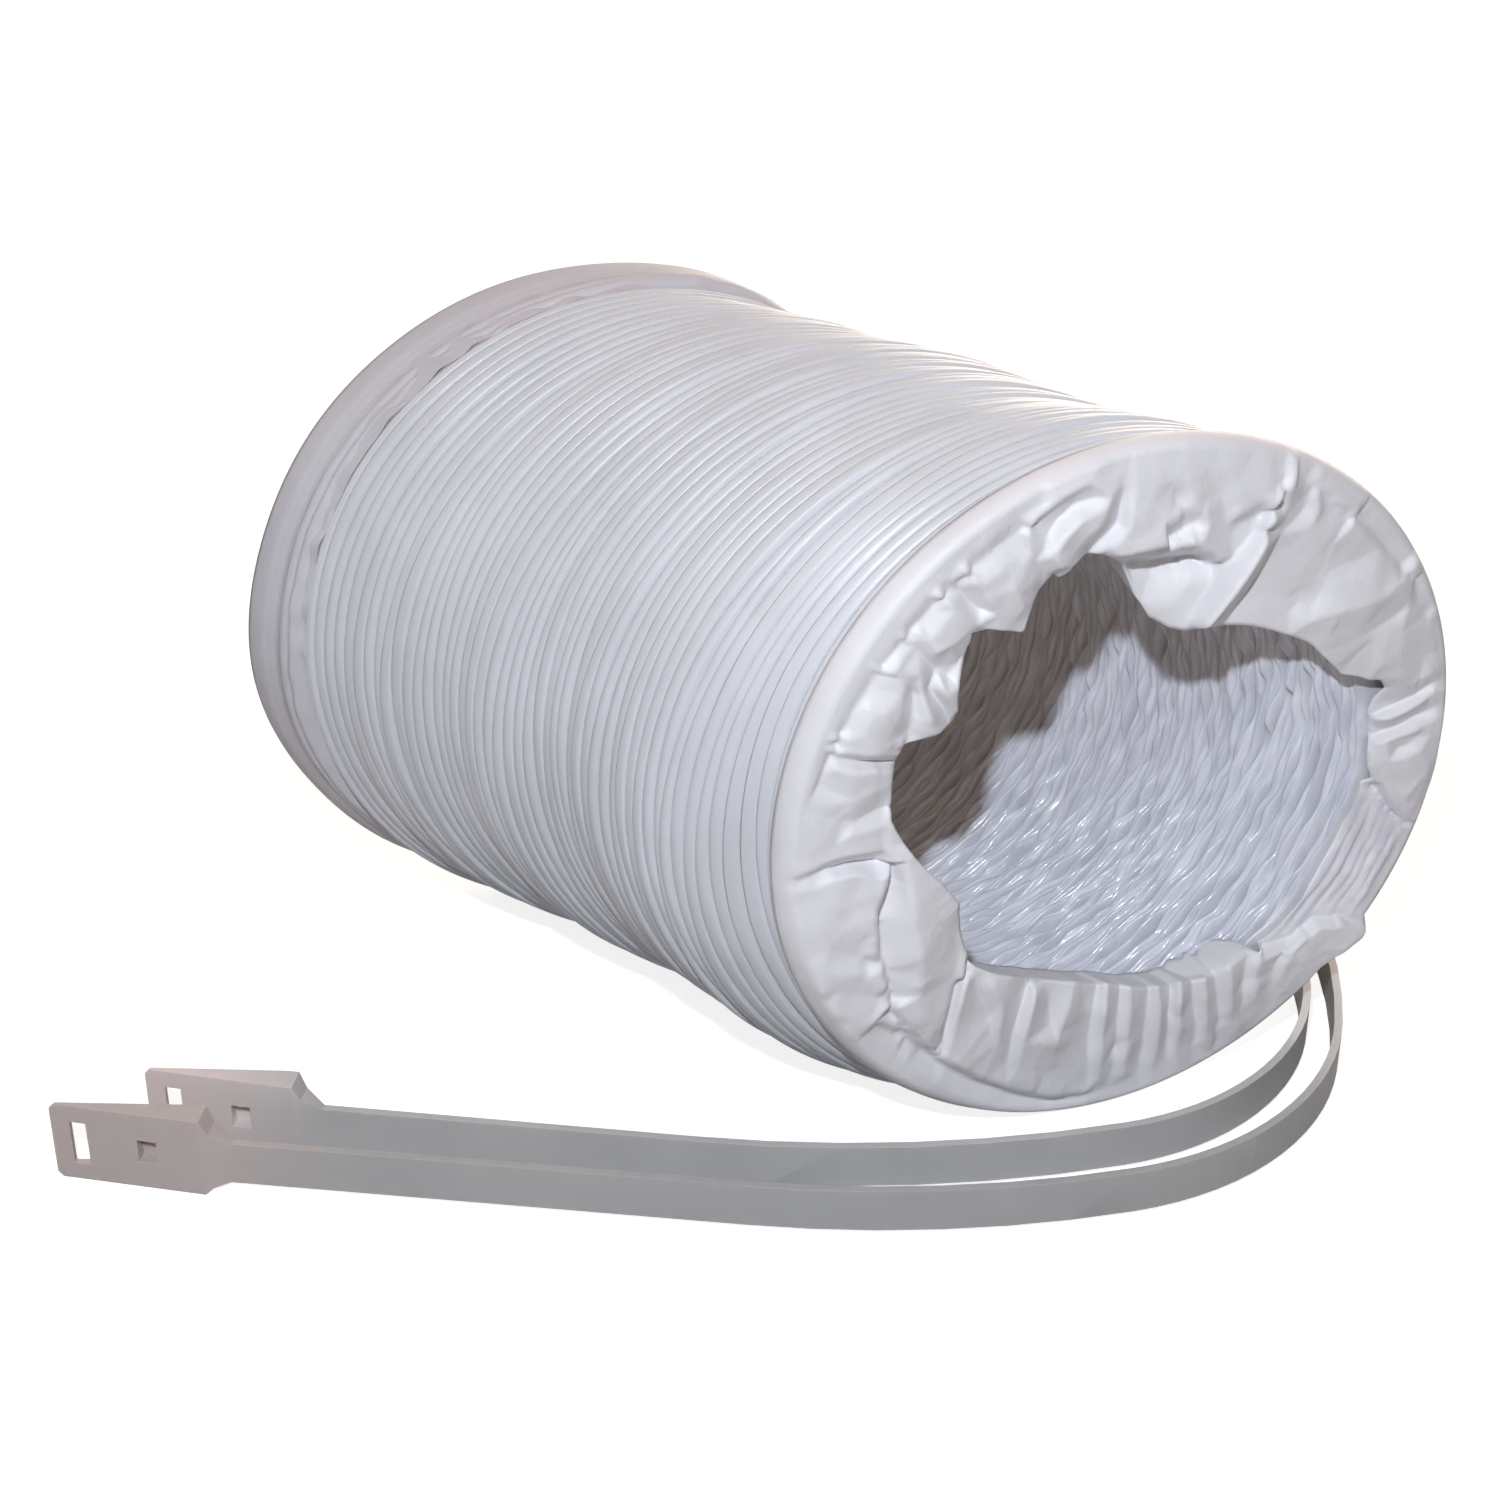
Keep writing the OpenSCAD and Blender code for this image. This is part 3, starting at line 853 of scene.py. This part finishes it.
# Pleats along the bottom, valley and ridge in turn
BOTTOM_PLEATS = [
    [(392, 1182, -2.4), (372, 1250, -1.8), (355, 1330, -0.9), (342, 1398, 0.2)],
    [(402, 1178, 0.6), (398, 1240, 1.6), (380, 1310, 1.6), (365, 1375, 1)],
    [(412, 1215, -0.2), (428, 1265, -0.8), (446, 1305, -0.9), (452, 1340, -0.1)],
    [(440, 1215, -0.2), (458, 1250, 1.2), (478, 1300, 1.5), (470, 1380, 0.9)],
    [(540, 1232, -2.2), (522, 1280, -1.6), (500, 1350, -0.8), (490, 1420, 0.2)],
    [(556, 1235, 0.5), (548, 1290, 1.8), (530, 1360, 1.7), (515, 1430, 0.9)],
    [(572, 1235, -1.2), (584, 1290, -1), (590, 1330, -0.3)],
    [(640, 1240, 0), (625, 1300, 1.3), (600, 1370, 1.5), (580, 1440, 0.9)],
    [(690, 1245, -2), (678, 1300, -1.4), (668, 1370, -1), (664, 1450, 0)],
    [(712, 1245, 0.4), (706, 1310, 1.6), (698, 1390, 1.4), (692, 1455, 0.8)],
    [(738, 1245, -1.6), (732, 1310, -0.8), (724, 1390, -0.7), (716, 1450, 0.1)],
    [(762, 1250, 0.3), (762, 1310, 1.3), (754, 1390, 1.2), (744, 1445, 0.7)],
    [(800, 1250, -1.8), (795, 1310, -1), (785, 1380, -0.8), (775, 1440, 0.1)],
    [(822, 1250, 0.4), (828, 1310, 1.4), (822, 1380, 1.2), (810, 1430, 0.7)],
    [(850, 1248, -1.8), (844, 1300, -1.2), (842, 1360, -0.7), (838, 1410, 0.1)],
    [(872, 1240, 0.6), (872, 1290, 1.7), (870, 1340, 1.3), (862, 1395, 0.8)],
    [(895, 1238, -1.6), (900, 1290, -1.2), (905, 1340, -0.6), (900, 1380, 0.1)],
    [(928, 1232, 0.2), (930, 1280, 1.2), (928, 1330, 1.1), (922, 1370, 0.7)],
    [(945, 1225, -1.8), (952, 1270, -1.1), (955, 1320, -0.6), (948, 1352, 0.1)],
    [(982, 1205, 0.5), (985, 1250, 1.3), (985, 1290, 1.1), (980, 1325, 0.7)],
    [(1020, 1175, -1.6), (1010, 1220, -1), (1008, 1265, -0.5), (1004, 1300, 0.1)],
    [(1055, 1172, 0.4), (1045, 1205, 1.2), (1040, 1245, 1.1), (1036, 1275, 0.7)],
    [(1098, 1166, -0.8), (1080, 1200, -0.4), (1074, 1240, 0.1)],
    [(1150, 1140, 0.8), (1130, 1170, 1.5), (1110, 1200, 1.3), (1100, 1225, 0.8)],
    [(1190, 1120, 0.6), (1200, 1140, 0.7), (1180, 1170, 0.8), (1160, 1190, 0.8)],
]
# The fold behind the tip
TIP_FOLD = [
    [(1230, 1112, 0.9), (1250, 1130, 1.2), (1225, 1160, 0.9)],
]
RIM_CREASES = [
    [(75, 800, -0.3), (120, 690, -0.35), (200, 560, -0.35), (330, 400, -0.3), (450, 290, -0.3),
     (560, 215, -0.25), (640, 165, -0.2)],
    [(200, 1330, -0.2), (270, 1362, -1), (330, 1410, -1.5), (400, 1448, -1.6), (480, 1476, -1.6),
     (560, 1494, -1.4), (640, 1490, -0.8), (720, 1465, -0.2)],
]

# Places that were set on the ring itself: angle in degrees, radius and height in mm.
# The edge at the right, where the lip is turned right in
TURNED_IN_EDGE = [
    (281.4, 40.6, -2.3), (285.5, 40.4, -2.3), (290, 40.3, -2.4), (296, 40.5, -2.3), (303, 40.6, -2.4),
    (309.4, 41, -2.3), (316, 40.9, -2.3), (321.6, 40.5, -2.3), (323, 40.2, 0),
]
# Ridges beside the rim's creases
RIM_RIDGES = [
    [(100, 50.1, 0.2), (112, 49.9, 0.25), (124, 49.4, 0.25), (138, 49.1, 0.25), (150, 49.2, 0.25),
     (160, 49.4, 0.2)],
    [(50, 49.4, 0.1), (44, 48.6, 0.2), (37, 49.2, 0.2), (28, 50, 0.2), (20, 50.8, 0.2), (12, 51.2, 0.1),
     (4, 51, 0.1)],
    [(52, 45.2, 0.9), (45, 44.6, 0.9), (37, 45.4, 0.9), (28, 46.4, 0.9), (20, 47.4, 0.8), (12, 48.4, 0.8),
     (5, 48.6, 0.6)],
]
# Both ends of the stretch that is turned right in
TURNED_IN_ENDS = [
    [(281.4, 42.8, -2.3), (285.9, 46.3, -1.7), (288, 49.3, -0.8)],
    [(280.2, 43, -0.3), (284.8, 46.6, 0), (286.6, 49.4, 0.2)],
    [(322.4, 40.9, -2.1), (318.4, 42.7, -1.9), (316.6, 43.8, -1.8), (311, 44.4, -1.6), (309.6, 45.6, -1.5),
     (308, 47.6, -1.1), (306.8, 49.6, -0.5)],
    [(322.9, 41.2, 0.2), (319.2, 43.5, 0.3), (317.2, 44.6, 0.4), (311.4, 45.2, 0.5), (309.2, 47.8, 0.9),
     (308, 49.8, 0.7)],
]

# The hose's first folds show beside that edge as low streaks. They run between these radii in mm,
# rise and fall by this share along their length, and below each radius stop at its angle.
STREAK_RADII = (49.4, 40.9)
STREAK_LIMITS = (49.6, 40.7)
STREAK_TAPER = (0, 0.35, 0.8, 1, 1, 1, 1, 0.6, 0.1)
STREAK_STOPS = ((44.2, 309), (43.2, 316), (42, 317.5), (0, 320))
STREAKS_END_EARLY = 47


def lip_place(across, down, height):
    """Angle in degrees, radius and height in mm of a place that was read: where the camera's ray
    through it meets the lip. Rounded to a tenth, which is finer than it was read."""
    ahead = (CAMERA_TO - CAMERA_AT).normalized()
    right = ahead.cross(Vector((0, 0, 1))).normalized()
    up = right.cross(ahead)
    focal = CAMERA_LENS / SENSOR_WIDTH * PHOTO_SIZE
    right_px = CROP_CORNER[0] + across / CROP_SCALE - PHOTO_SIZE / 2
    down_px = CROP_CORNER[1] + down / CROP_SCALE - PHOTO_SIZE / 2
    ray = ahead + right * (right_px / focal) - up * (down_px / focal)
    spot = CAMERA_AT + ray * ((front_x + LIP_FACE + height * MM - CAMERA_AT.x) / ray.x)
    y, z = spot.y - FITTED_Y, spot.z
    angle = math.degrees(math.atan2(-y, -z)) % 360
    return round(angle, 1), round(math.hypot(y, z) / MM, 1), height


def fold_streaks():
    """The streaks as lines of angle, radius and height, low and high in turn and a little wavy."""
    draw = random.Random(5)
    lines = []
    radius, lowest = STREAK_RADII
    while radius > lowest:
        if radius > STREAKS_END_EARLY:
            stop = draw.uniform(305, 307.5)
        else:
            stop = next(angle for above, angle in STREAK_STOPS if radius > above)
        start = max(282.6, 281.9 + (radius - 43) * 1.05)
        drift = draw.uniform(-0.25, 0.25)
        swing = draw.uniform(0.10, 0.42) if len(lines) % 2 else -draw.uniform(0.10, 0.40)
        ground = -0.15 - (STREAK_RADII[0] - radius) * 0.235
        line = []
        for k, taper in enumerate(STREAK_TAPER):
            drift = (drift + draw.uniform(-0.15, 0.15)) * 0.85
            angle = start + (stop - start) * k / (len(STREAK_TAPER) - 1)
            out = min(STREAK_LIMITS[0], max(STREAK_LIMITS[1], radius + drift * taper))
            height = ground + swing * taper * draw.uniform(0.6, 1.2)
            line.append((round(angle, 1), round(out, 1), round(height, 2)))
        lines.append(line)
        radius -= draw.uniform(0.5, 0.95)
    return lines


def lowered(places, digits):
    """Places that were read, with their heights lowered and rounded as the format digits says."""
    return [(x, y, float(format(height * LOWERED, digits))) for x, y, height in places]


READ_LINES = LEAF_PANEL + LEFT_CREASES + UPPER_LEFT + TOP_FOLDS + RIGHT_PANEL + RIGHT_PLEATS
READ_LINES += [lowered(line, ".2g") for line in BOTTOM_PLEATS] + TIP_FOLD + RIM_CREASES
READ_EDGE = TOP_EDGE + lowered(BOTTOM_EDGE, ".2f")
LIP_EDGE = sorted([lip_place(*place) for place in READ_EDGE] + TURNED_IN_EDGE)
LIP_LINES = [[lip_place(*place) for place in line] for line in READ_LINES]
LIP_LINES += RIM_RIDGES + TURNED_IN_ENDS + fold_streaks()

# The sleeve's section draws from this before the lip is built
lip_rng = np.random.default_rng(23)
LIP_AROUND = 1080
LIP_BAND = 44
LIP_BACK = 8
LIP_RIM = 50.9 * MM
LIP_THICK = 0.25 * MM
LIP_CRUMPLE = 0.28
# The pointed tip beside the stretch that is turned right in, and where that stretch starts and
# stops: at the rim, and at the edge of the mouth, in degrees
TIP_ANGLE, TIP_REACH = 307.5, 2.4 * MM
TURNED_FROM, TURNED_TO_RIM, TURNED_TO_EDGE = 282, 306, 317
# Where the edge is tucked behind the lip's face: its radius, and how far back the tuck goes
TUCK_FROM, TUCK_INNER, TUCK_DEPTH = 40.0 * MM, 37.9 * MM, 7.0 * MM


def around_list(places, values, angle):
    """Straight-line interpolation round the ring, with the places in degrees."""
    places = np.concatenate([np.array(places) - 360, places, np.array(places) + 360])
    return np.interp(np.degrees(angle) % 360, places, np.tile(values, 3))


def in_plane(angle, radius):
    """A point of the mouth's plane in mm, from an angle in degrees and a radius in mm."""
    return np.array((radius * math.sin(math.radians(angle)), radius * math.cos(math.radians(angle))))


def relief_points():
    """Points (u, v, height) in mm, set closely along every ridge, valley and edge of the lip."""
    inner = [(a, r - 4, h - 0.5) for a, r, h in LIP_EDGE]
    rim = [(a, 52.5, 0.1) for a in range(0, 361, 4)]
    points = []
    for line in LIP_LINES + [LIP_EDGE + LIP_EDGE[:1], inner + inner[:1], rim]:
        for (a0, r0, h0), (a1, r1, h1) in zip(line, line[1:]):
            start, stop = in_plane(a0, r0), in_plane(a1, r1)
            count = max(1, math.ceil(np.linalg.norm(stop - start) / 0.5))
            for share in np.arange(count) / count:
                points.append((*(start + (stop - start) * share), h0 + (h1 - h0) * share))
        angle, radius, height = line[-1]
        points.append((*in_plane(angle, radius), height))
    return points


def crumple_points():
    """Sparse points with small random heights, for the facets of crumpled film."""
    points = []
    for radius in np.arange(18, 56, 3.1):
        for angle in np.arange(0, 360, math.degrees(3.6 / radius)):
            a, r = angle + lip_rng.uniform(-2, 2), radius + lip_rng.uniform(-1.4, 1.4)
            points.append((*in_plane(a, r), lip_rng.uniform(-1, 1)))
    return points


def facet_height(points, u, v):
    """Heights at places (u, v) on the flat facets between scattered points."""
    flat = [Vector((x, y)) for x, y, _ in points]
    spots, _, faces, origins, _, _ = delaunay_2d_cdt(flat, [], [], 0, 1e-3)
    corners = [(p.x, p.y, points[o[0]][2]) for p, o in zip(spots, origins)]
    tree = BVHTree.FromPolygons(corners, faces)
    height = np.zeros(u.size)
    for k, (x, y) in enumerate(zip(u.ravel(), v.ravel())):
        hit = tree.ray_cast(Vector((x, y, 50)), Vector((0, 0, -1)))[0]
        height[k] = hit.z if hit else 0
    return height.reshape(u.shape)


def smooth_ring(values):
    """Softens values given round a ring, whose last one repeats the first."""
    ring = values[:-1]
    ring = (np.roll(ring, 1, axis=0) + 2 * ring + np.roll(ring, -1, axis=0)) / 4
    return np.concatenate([ring, ring[:1]])


def soften(heights):
    """Takes the hardest edge off a grid of heights [station][row] that closes on itself."""
    heights = smooth_ring(heights)
    heights[:, 1:-1] = (heights[:, :-2] + 2 * heights[:, 1:-1] + heights[:, 2:]) / 4
    return heights


def lip_points():
    """Points of the lip: [station][row], from the last crest, over the face, and back inside."""
    index = np.arange(LIP_AROUND + 1)
    angle = index / LIP_AROUND * TURN
    turn = N_TURNS - 1 + index / LIP_AROUND
    places, radii, _ = zip(*LIP_EDGE)
    edge = smooth_ring(around_list(places, radii, angle)) * MM
    share = np.arange(LIP_BAND + 1) / LIP_BAND
    radius = LIP_RIM + (edge[:, None] - LIP_RIM) * share
    u, v = radius / MM * np.sin(angle)[:, None], radius / MM * np.cos(angle)[:, None]
    height = facet_height(relief_points(), u, v)
    height += LIP_CRUMPLE * facet_height(crumple_points(), u, v) * step(share * 6)
    height = soften(height) * MM
    start_x, start_r = crest_x(turn, angle), crest_radius(turn, angle) + crest_r
    away = turned(angle, TIP_ANGLE)
    tip = TIP_REACH * np.clip(1 - np.where(away < 0, -away / 2.2, away / 9), 0, 1)
    centre = sway(front_x)
    rows = [ring_point(start_x, start_r, angle)]
    for reach, sink, ease in ((0.5, -0.05, 0.35), (1.1, 0.1, 0.7), (1.6, 0.45, 1.0)):
        x = start_x * (1 - ease) + front_x * ease + reach * MM
        middle = sway(start_x) * (1 - ease) + centre * ease
        rows.append(ring_point(x, outer_r - sink * MM + tip * ease, angle, middle))
    for k in range(LIP_BAND + 1):
        near = 1 - step(share[k] * 3)
        x, r = front_x + LIP_FACE + height[:, k], radius[:, k] + tip * near
        rows.append(ring_point(x, r, angle, centre))
    face_x = front_x + LIP_FACE + height[:, -1]
    tucked = np.clip((TUCK_FROM - edge) / (2 * MM), 0, 1)
    for k in range(1, LIP_BACK + 1):
        part = k / LIP_BACK
        deep = 0.3 * MM + TUCK_DEPTH * part**1.4
        inner = np.minimum(edge + 2.2 * MM * part, TUCK_INNER) - 0.25 * MM * math.sin(math.pi * part)
        x = face_x - deep * tucked - (0.4 * MM * part) * (1 - tucked)
        r = inner * tucked + (edge - 0.2 * MM * part) * (1 - tucked)
        rows.append(ring_point(x, r, angle, centre))
    return np.stack(rows, axis=1)


def build_lip(material):
    """The lip as a sheet. Where it is turned right in, it shows the hose's folds."""
    points = lip_points()
    angle = np.degrees(np.arange(LIP_AROUND + 1) / LIP_AROUND * TURN)[:, None]
    row = np.arange(points.shape[1])
    stop = TURNED_TO_RIM + (TURNED_TO_EDGE - TURNED_TO_RIM) * step((row - 30) / 6)
    window = step((angle - TURNED_FROM) / 3) * step((stop - angle) / 4)
    # In the turned-in stretch the lip takes the folds' bluer tone and gloss, and their painted glow and
    # painted streaks
    inward = 0.8 * window * step((row - 5) / 6)
    lip = closed_sheet("tucked_lip", points, material, inward=inward)
    shell = lip.modifiers.new("thickness", "SOLIDIFY")
    shell.thickness, shell.offset = LIP_THICK, 0
    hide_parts("front_cuff")
    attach(lip, "front_end")


# -------- the rear sleeve

SLEEVE_AROUND = 360
# The sleeve's front part still has soft ribs: how many, and over what share of its length
SLEEVE_RIBS, RIBBED = 3, 0.45
# Where the mouth stands out: angle of the middle, spread in degrees, height in mm
FLARES = [(207, 26, 2.4), (72, 32, 1.2)]
# The pinch behind the first turn is deepest here: angle of the middle, spread in degrees
PINCH_AT, PINCH_SPREAD = 55, 48
SHELL = 0.7 * MM
HEM = 0.3 * MM
OUTER_SHARES = (*np.linspace(0, RIBBED, 6 * SLEEVE_RIBS + 1), 0.52, 0.62, 0.66, 0.7, 0.78, 0.88, 0.95)
INNER_SHARES = (0.08, 0.2, 0.3, 0.36, 0.45, 0.6, 0.75, 0.88, 0.96)
SLEEVE_WAVES = wave_set(lip_rng, 10, (2, 9), (0.5, 2.0))
SLEEVE_DIMPLES = wave_set(lip_rng, 16, (16, 60), (0.5, 3.0))


def sleeve_points():
    """Points of the sleeve: [station][row], from the first crest to the hemmed mouth and back."""
    index = np.arange(SLEEVE_AROUND + 1)
    angle = index / SLEEVE_AROUND * TURN
    turn = index / SLEEVE_AROUND
    start_x, start_r = crest_x(turn, angle), crest_radius(turn, angle) + crest_r
    pinch = 0.5 * MM + 2.0 * MM * np.exp(-((turned(angle, PINCH_AT) / PINCH_SPREAD) ** 2))
    pinch = pinch + 0.25 * MM * field(SLEEVE_DIMPLES, 0, angle)
    flare = sum(high * MM * np.exp(-((turned(angle, at) / wide) ** 2)) for at, wide, high in FLARES)
    rows = [(start_x, start_r), (start_x - 0.7 * MM, start_r - 0.5 * pinch)]
    for share in OUTER_SHARES:
        x = (start_x - 1.3 * MM) * (1 - share) + 0.3 * MM
        swell = step(share / 0.3)
        wave = 0.3 * MM * field(SLEEVE_WAVES, share * 2, angle) * step(share * 3)
        hem = HEM * step((share - 0.62) / 0.08)
        dimple = 0.25 * MM * field(SLEEVE_DIMPLES, share * 6, angle) * (1 - step(share / 0.5))
        groove = 0.45 * MM * (1 - abs(math.sin(math.pi * SLEEVE_RIBS * min(share / RIBBED, 1)))) ** 2
        groove = groove if share < RIBBED + 0.01 else 0
        base = outer_r - 0.75 * MM - pinch * (1 - swell) + 0.35 * MM * share
        rows.append((x, base + wave + hem + dimple - groove + flare * swell))
    mouth_r = rows[-1][1]
    for x, down in ((0.05, 0.15), (0, 0.4), (0.15, 0.65)):
        rows.append((x * MM, mouth_r - down * MM))
    front_r, back_r = start_r - pinch - 0.6 * MM, mouth_r - SHELL
    for share in INNER_SHARES:
        x = (start_x - 0.9 * MM) * share
        hem = HEM * step((share - 0.3) / 0.06)
        outer = (back_r - front_r) * (1 - share) + front_r
        outer = np.minimum(outer, start_r - 0.6 * MM - pinch * step((share - 0.62) / 0.38))
        rows.append((x, outer + hem))
    return np.stack([ring_point(x, r, angle) for x, r in rows], axis=1)


def build_sleeve(material):
    sleeve = closed_sheet("rear_sleeve", sleeve_points(), material)
    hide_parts("rear_cuff")
    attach(sleeve, f"hose_{SECTIONS}")


make_camera()
make_lights()
make_world()
make_floor()
bpy.context.scene.view_settings.view_transform = "Standard"

# One film throughout: the lip's copy is lighter than the body's, painted light, and the sleeve's darker,
# painted shade
film = film_material("white_film", (0.66, 0.68, 0.73), (0.65, 0.69, 0.79), (0.3, 0.45), 0.2)
lip_film = film_material("lip_film", (0.78, 0.775, 0.815), (0.70, 0.72, 0.81), (0.42, 0.6), 0.35)
sleeve_film = film_material("sleeve_film", (0.62, 0.61, 0.66), (0.62, 0.61, 0.66), (0.42, 0.6), 0.3)
steel = steel_material()
# Both ties are one nylon: the rear tie's copy is lighter than the front tie's, painted light
ties = {
    "front_tie": nylon_material("natural_nylon", 0.43, (0.54, 0.475, 0.46)),
    "rear_tie": nylon_material("natural_nylon_painted_lighter", 0.53, (0.80, 0.71, 0.69)),
}

build_film(film)
build_wire(steel)
build_lip(lip_film)
build_sleeve(sleeve_film)
for name, nylon in ties.items():
    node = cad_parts[name]
    node.data.materials.clear()
    node.data.materials.append(nylon)
    weld = node.modifiers.new("weld", "WELD")
    weld.merge_threshold = 0.001 * MM
    soft = node.modifiers.new("moulded_edges", "BEVEL")
    soft.width, soft.segments = 0.28 * MM, 3
    soft.limit_method, soft.angle_limit = "ANGLE", math.radians(35)
    soft.harden_normals = True
